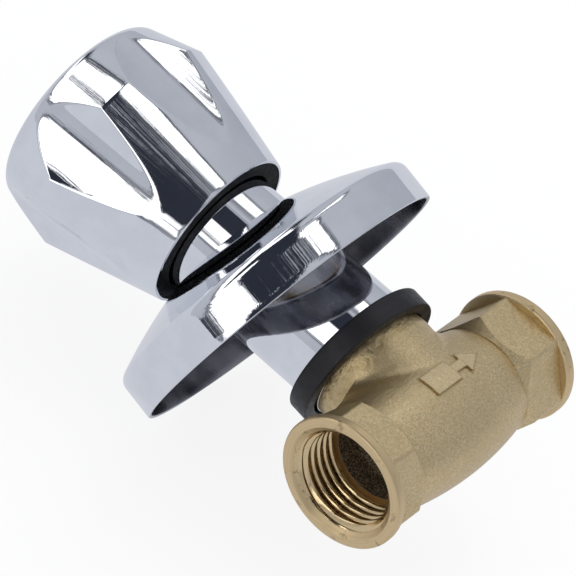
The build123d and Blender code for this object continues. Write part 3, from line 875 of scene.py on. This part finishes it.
def floor_material(tones):
    """A pale floor: white with a faint shadow to the camera, and a plain tone to mirrors."""
    material = bpy.data.materials.new("Pale floor")
    material.use_nodes = True
    tree = material.node_tree
    tree.nodes.clear()
    camera_ray, mirror_ray = mirror_rays(tree)
    matt = node(tree, "ShaderNodeBsdfDiffuse", {"Color": (0.9, 0.9, 0.9, 1)})
    white = node(tree, "ShaderNodeEmission", {"Color": (*tones.backdrop, 1), "Strength": 1.0})
    mirrored = node(tree, "ShaderNodeEmission", {"Color": (*tones.floor_tone, 1), "Strength": 1.0})
    shown = shader_mix(tree, product(tree, camera_ray, 0.86), matt, white)
    whole = shader_mix(tree, mirror_ray, shown, mirrored)
    output = node(tree, "ShaderNodeOutputMaterial")
    tree.links.new(whole.outputs[0], output.inputs["Surface"])
    return material


def add_camera(scene):
    """The camera at the photo's angle."""
    camera = bpy.data.objects.new("Camera", bpy.data.cameras.new("Camera"))
    scene.collection.objects.link(camera)
    camera.location = CAMERA_PLACE
    camera.rotation_euler = CAMERA_TURN
    camera.data.sensor_width = SENSOR_WIDTH
    camera.data.lens = CAMERA_LENS
    camera.data.clip_start, camera.data.clip_end = 0.01, 20
    scene.camera = camera


def add_floor(scene, tones):
    """The pale floor, just under the valve."""
    mesh = bpy.data.meshes.new("floor")
    signs = [(-1, -1), (1, -1), (1, 1), (-1, 1)]
    corners = [(x * FLOOR_HALF, y * FLOOR_HALF, FLOOR_HEIGHT) for x, y in signs]
    mesh.from_pydata(corners, [], [(0, 1, 2, 3)])
    mesh.materials.append(floor_material(tones))
    floor = bpy.data.objects.new("floor", mesh)
    scene.collection.objects.link(floor)


def add_lamp(scene):
    """The soft key lamp, which only matt surfaces show."""
    lamp = bpy.data.objects.new("Key lamp", bpy.data.lights.new("Key lamp", "AREA"))
    lamp.data.shape = "RECTANGLE"
    lamp.data.size, lamp.data.size_y = LAMP_SIZE
    lamp.data.energy = LAMP_POWER
    lamp.location = LAMP_PLACE
    lamp.rotation_euler = (LAMP_AIM - LAMP_PLACE).to_track_quat("-Z", "Y").to_euler()
    lamp.visible_camera = False
    lamp.visible_glossy = False
    scene.collection.objects.link(lamp)


# Operators


class STOPVALVE_OT_stage(bpy.types.Operator):
    """Set up the camera, the pale floor, the studio and its lamp."""

    bl_idname = "stop_valve.stage"
    bl_label = "Stage"

    def execute(self, context):
        scene = context.scene
        scene.view_settings.view_transform = "Standard"
        add_camera(scene)
        build_world(scene.stop_valve_studio)
        add_floor(scene, scene.stop_valve_studio)
        add_lamp(scene)
        return {"FINISHED"}


class STOPVALVE_OT_casting(bpy.types.Operator):
    """Finish the brass casting and cut the thread of both ports."""

    bl_idname = "stop_valve.casting"
    bl_label = "Casting and threads"

    def execute(self, context):
        colours = context.scene.stop_valve_finishes
        dress("valve_body", cast_brass(colours))
        brass = thread_brass(colours)
        points = thread_surface(context.scene.stop_valve_thread)
        for name, way in (("inlet_thread", 1), ("outlet_thread", -1)):
            turned = points * np.array([way, way, 1])
            thread = grid_piece(name, laid_down(turned), [brass], caps=True, sharp=60)
            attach(thread, "body")
        return {"FINISHED"}


class STOPVALVE_OT_sleeve(bpy.types.Operator):
    """Build the chromed sleeve and the rubber ring at its foot."""

    bl_idname = "stop_valve.sleeve"
    bl_label = "Sleeve and ring"

    def execute(self, context):
        sizes = context.scene.stop_valve_sleeve
        colours = context.scene.stop_valve_finishes
        tube = grid_piece("sleeve_chrome", laid_down(sleeve_surface(sizes)), [polished_chrome(colours)])
        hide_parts("sleeve_tube")
        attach(tube, "body")
        ring = grid_piece("foot_ring", laid_down(ring_surface(sizes)), [black_rubber(colours)])
        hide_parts("rubber_ring")
        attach(ring, "body")
        return {"FINISHED"}


class STOPVALVE_OT_flange(bpy.types.Operator):
    """Build the loose wall flange, polished outside and unpolished inside."""

    bl_idname = "stop_valve.flange"
    bl_label = "Wall flange"

    def execute(self, context):
        points, inside = flange_surface(context.scene.stop_valve_flange)
        finishes = [polished_chrome(context.scene.stop_valve_finishes), unpolished_chrome()]
        flange = grid_piece("flange_chrome", laid_down(points), finishes, sharp=30, row_material=inside)
        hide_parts("wall_flange")
        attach(flange, "flange")
        return {"FINISHED"}


class STOPVALVE_OT_handle(bpy.types.Operator):
    """Build the fluted chromed handle and finish its insert, cap and fastenings."""

    bl_idname = "stop_valve.handle"
    bl_label = "Handle"

    def execute(self, context):
        sizes = context.scene.stop_valve_handle
        colours = context.scene.stop_valve_finishes
        chrome = polished_chrome(colours)
        shell = grid_piece("handle_chrome", laid_down(handle_surface(sizes)), [chrome], sharp=24)
        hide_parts("handle_shell")
        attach(shell, "handle")
        dress("index_cap", chrome)
        dress("handle_insert", moulded("Moulded black plastic", colours.plastic, 0.6, 700, shine=0.12))
        steel = plated_steel(colours)
        for name in ("handle_screw", "screw_washer", "retaining_ring"):
            dress(name, steel)
        return {"FINISHED"}


class STOPVALVE_OT_headwork(bpy.types.Operator):
    """Finish the headwork that is hidden in the sleeve and the casting."""

    bl_idname = "stop_valve.headwork"
    bl_label = "Headwork"

    def execute(self, context):
        colours = context.scene.stop_valve_finishes
        brass = turned_brass(colours)
        for name in ("bonnet", "spindle", "jumper_carrier", "washer_plate", "washer_screw", "slip_washer"):
            dress(name, brass)
        rubber = black_rubber(colours)
        for name in ("seat_washer", "lower_o_ring", "upper_o_ring"):
            dress(name, rubber)
        dress("bonnet_washer", moulded("Red fibre", colours.fibre, 0.7, 1600, 0.04 * MM))
        dress("thrust_washer", moulded("White slip plastic", colours.slip_plastic, 0.4))
        return {"FINISHED"}


# Panel and registration


PROPERTIES = {
    "stop_valve_handle": HandleSizes,
    "stop_valve_flange": FlangeSizes,
    "stop_valve_sleeve": SleeveSizes,
    "stop_valve_thread": ThreadSizes,
    "stop_valve_finishes": FinishColours,
    "stop_valve_studio": StudioColours,
}
OPERATORS = (
    STOPVALVE_OT_stage,
    STOPVALVE_OT_casting,
    STOPVALVE_OT_sleeve,
    STOPVALVE_OT_flange,
    STOPVALVE_OT_handle,
    STOPVALVE_OT_headwork,
)


class STOPVALVE_PT_sidebar(bpy.types.Panel):
    """Lists the valve's building steps, sizes and colours."""

    bl_idname = "STOPVALVE_PT_sidebar"
    bl_label = "Stop Valve"
    bl_space_type = "VIEW_3D"
    bl_region_type = "UI"
    bl_category = "Stop Valve"

    def draw(self, context):
        for operator in OPERATORS:
            self.layout.operator(operator.bl_idname)
        for name, group in PROPERTIES.items():
            box = self.layout.box()
            for prop in group.__annotations__:
                box.prop(getattr(context.scene, name), prop)


def register():
    """Registers the properties, operators and panel."""
    for name, group in PROPERTIES.items():
        bpy.utils.register_class(group)
        setattr(bpy.types.Scene, name, PointerProperty(type=group))
    for operator in OPERATORS:
        bpy.utils.register_class(operator)
    bpy.utils.register_class(STOPVALVE_PT_sidebar)


def unregister():
    """Removes the panel, operators and properties."""
    bpy.utils.unregister_class(STOPVALVE_PT_sidebar)
    for operator in reversed(OPERATORS):
        bpy.utils.unregister_class(operator)
    for name, group in PROPERTIES.items():
        delattr(bpy.types.Scene, name)
        bpy.utils.unregister_class(group)


def main():
    register()
    bpy.ops.stop_valve.stage()
    bpy.ops.stop_valve.casting()
    bpy.ops.stop_valve.sleeve()
    bpy.ops.stop_valve.flange()
    bpy.ops.stop_valve.handle()
    bpy.ops.stop_valve.headwork()


if __name__ == "__main__":
    main()
